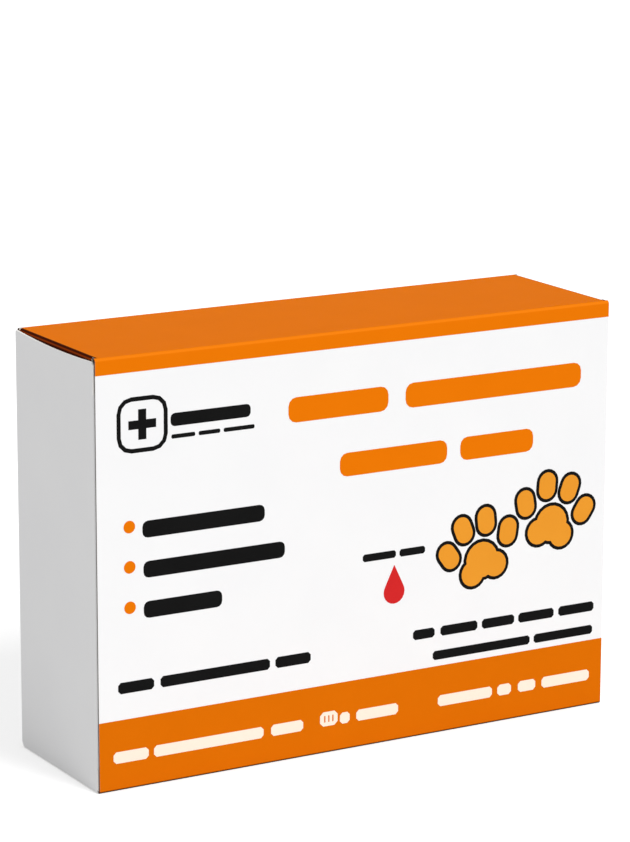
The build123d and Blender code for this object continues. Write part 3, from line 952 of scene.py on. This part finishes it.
# %% Buffer ampoule: body and neck
ampoule_low, ampoule_high = np.array(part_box("buffer_ampoule"))
ampoule_radius = (ampoule_high[2] - ampoule_low[2]) / 2
ampoule_axis = (ampoule_low + ampoule_high) / 2
tab_length = 11.0 * mm
neck_in_tab = 2.5 * mm
neck_radius = 1.9 * mm
neck_round = 0.6 * mm
cap_length = 2.2 * mm
shoulder_start = 29.5 * mm
neck_start = 34.2 * mm
neck_end = ampoule_high[0] - ampoule_low[0] - tab_length + neck_in_tab

cap_x, cap_r = round_cap(cap_length, ampoule_radius)
body_x, body_r = profile_through(
    [cap_length, shoulder_start, neck_start, neck_end - neck_round, neck_end],
    [ampoule_radius, ampoule_radius, neck_radius, neck_radius, 0.0],
)
bottle_points, bottle_faces = turned_surface(np.append(cap_x, body_x), np.append(cap_r, body_r))
bottle_points += np.array([ampoule_low[0], ampoule_axis[1], ampoule_axis[2]])
print("ampoule", round(float(2 * ampoule_radius) / mm, 1), "mm across")

# %% Buffer ampoule: the tab
tab_width = 9.0 * mm
tab_thickness = 1.2 * mm
tab_half = np.array([tab_length, tab_width, tab_thickness]) / 2
tab_round = 0.35
tab_columns = 25
tab_rows = 73


def power_wave(wave, power):
    """The power of a sine or cosine with its sign kept, which squares a round outline."""
    return np.sign(wave) * np.abs(wave) ** power


def rounded_slab(half, power):
    """A sphere's three sine and cosine products, each wave to a power under 1, times the half sizes."""
    latitude, longitude = np.meshgrid(
        np.linspace(-np.pi / 2, np.pi / 2, tab_columns), np.linspace(-np.pi, np.pi, tab_rows)[:-1],
    )
    slab = np.stack([
        half[0] * power_wave(np.cos(latitude), power) * power_wave(np.cos(longitude), power),
        half[1] * power_wave(np.cos(latitude), power) * power_wave(np.sin(longitude), power),
        half[2] * power_wave(np.sin(latitude), power),
    ], axis=-1)
    return np.concatenate([slab, slab[:1]]).reshape(-1, 3)


tab_points = rounded_slab(tab_half, tab_round)
tab_points += np.array([ampoule_high[0] - tab_half[0], ampoule_axis[1], ampoule_axis[2]])
tab_faces = grid_faces(tab_rows, tab_columns, len(bottle_points), True)
ampoule_points = np.concatenate([bottle_points, tab_points])
ampoule_faces = np.concatenate([bottle_faces, tab_faces])
make_piece("twist_off_ampoule", ampoule_points, ampoule_faces, "buffer_ampoule", milky)

# %% [markdown]
# ### Pipette
#
# A transfer pipette is blown as one tube: a bulb to squeeze, a stem with a few raised rings, and a drawn
# tip. It is a turned profile again, with the rings added to the radius as narrow humps. It rests on its
# bulb and on its tip, so its axis leans a little, and the lean is worked out from those two places.

# %% Pipette: the profile
pipette_low, pipette_high = np.array(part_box("pipette"))
bulb_radius = (pipette_high[1] - pipette_low[1]) / 2
bulb_length = 26.0 * mm
pipette_length = 96.0 * mm
stem_radius = 2.2 * mm
tip_radius = 0.9 * mm
drawn_length = 36.5 * mm
tip_lip = 0.2 * mm
ring_height = 0.16 * mm
ring_spread = 0.5 * mm
# How far the rings lie from the bulb.
ring_distances = np.array([8.0, 16.0, 24.0]) * mm
pipette_steps = 40
# The bulb lies on the board where its straight part ends.
rest_place = bulb_length - bulb_radius

cap_x, cap_r = round_cap(bulb_radius, bulb_radius)
body_x, body_r = profile_through(
    [
        bulb_radius, rest_place, bulb_length,
        pipette_length - drawn_length, pipette_length - tip_lip, pipette_length,
    ],
    [bulb_radius, bulb_radius, stem_radius, stem_radius, tip_radius, 0.0],
    pipette_steps,
)
ring_places = (bulb_length + ring_distances)[:, None]
body_r += ring_height * np.exp(-((body_x - ring_places) / ring_spread) ** 2).sum(axis=0)
level_points, pipette_faces = turned_surface(np.append(cap_x, body_x), np.append(cap_r, body_r))
print("pipette bulb", round(float(2 * bulb_radius) / mm, 1), "mm across")

# %% Pipette: laid on its bulb and its tip
lean = np.arctan2(bulb_radius - tip_radius, pipette_length - rest_place)
from_rest = level_points[:, 0] - rest_place
pipette_points = np.stack([
    rest_place - pipette_length / 2 + from_rest * np.cos(lean) + level_points[:, 2] * np.sin(lean),
    level_points[:, 1] + (pipette_low[1] + pipette_high[1]) / 2,
    board + bulb_radius - from_rest * np.sin(lean) + level_points[:, 2] * np.cos(lean),
], axis=-1)
print("the pipette leans by", round(float(np.degrees(lean)), 1), "degrees")
make_piece("transfer_pipette", pipette_points, pipette_faces, "pipette", milky)

# %% [markdown]
# ## Floor, backdrop and light
#
# The photograph is cut out on pure white. More light would bleach the carton too, so the white is given
# only to rays that the camera, a reflection or a clear piece sends out. For all other rays the floor is
# plain pale paper, which keeps a faint shadow, and the world is a soft, dimmer sky. One wide sun from the
# front right lights the front and the top, and the left end stays in shade.

# %% Floor
white = (1.0, 1.0, 1.0, 1.0)
floor_colour = (0.85, 0.85, 0.85, 1.0)
floor_lift = 0.42
floor_half = 3.0


def seen_directly(tree):
    """1 for rays from the camera, off a gloss or through a clear piece, and 0 for the rest."""
    paths = add(tree, "LightPath").outputs
    seen = either(tree, paths["Is Camera Ray"], paths["Is Glossy Ray"])
    return either(tree, seen, paths["Is Transmission Ray"])


floor_corners = np.array([(-1, -1, 0), (1, -1, 0), (1, 1, 0), (-1, 1, 0)]) * floor_half
floor_mesh = bpy.data.meshes.new("floor")
floor_mesh.from_pydata(floor_corners.tolist(), [], [(0, 1, 2, 3)])
floor = bpy.data.objects.new("floor", floor_mesh)
bpy.context.scene.collection.objects.link(floor)

floor_material, tree, shader, coordinates = new_material("floor_paper", 1.0, 0.0)
shader.inputs["Base Color"].default_value = floor_colour
lift_strength = maths(tree, "MULTIPLY", seen_directly(tree), floor_lift)
glow = add(tree, "Emission", {"Color": white, "Strength": lift_strength})
lit_and_lifted = add(tree, "AddShader", {0: shader.outputs["BSDF"], 1: glow.outputs["Emission"]})
output = next(node for node in tree.nodes if node.type == "OUTPUT_MATERIAL")
tree.links.new(lit_and_lifted.outputs["Shader"], output.inputs["Surface"])
floor_mesh.materials.append(floor_material)
print("floor", 2 * floor_half, "m wide")

# %% World
sky_strength = 0.55
world = bpy.data.worlds.new("studio")
bpy.context.scene.world = world
world.use_nodes = True
tree = world.node_tree
tree.nodes.clear()
strength = maths(tree, "MULTIPLY_ADD", seen_directly(tree), 1.0 - sky_strength, sky_strength)
background = add(tree, "Background", {"Color": white, "Strength": strength})
output = add(tree, "OutputWorld")
tree.links.new(background.outputs["Background"], output.inputs["Surface"])
print("sky strength", sky_strength, "as light, and 1.0 where it is seen")

# %% Sun
sun_share = 0.56
sun_softness = np.radians(25.0)
sun_towards = np.array([0.30, -0.72, 0.70])
sun_towards /= np.linalg.norm(sun_towards)
sun_data = bpy.data.lights.new("window_light", "SUN")
sun_data.energy = sun_share * np.pi
sun_data.angle = sun_softness
sun = bpy.data.objects.new("window_light", sun_data)
bpy.context.scene.collection.objects.link(sun)
sun_side = np.cross((0.0, 0.0, 1.0), sun_towards)
sun_side /= np.linalg.norm(sun_side)
stand(sun, sun_side, np.cross(sun_towards, sun_side), sun_towards, sun_towards)
print("sun from", np.round(sun_towards, 2), "with a share of", sun_share)
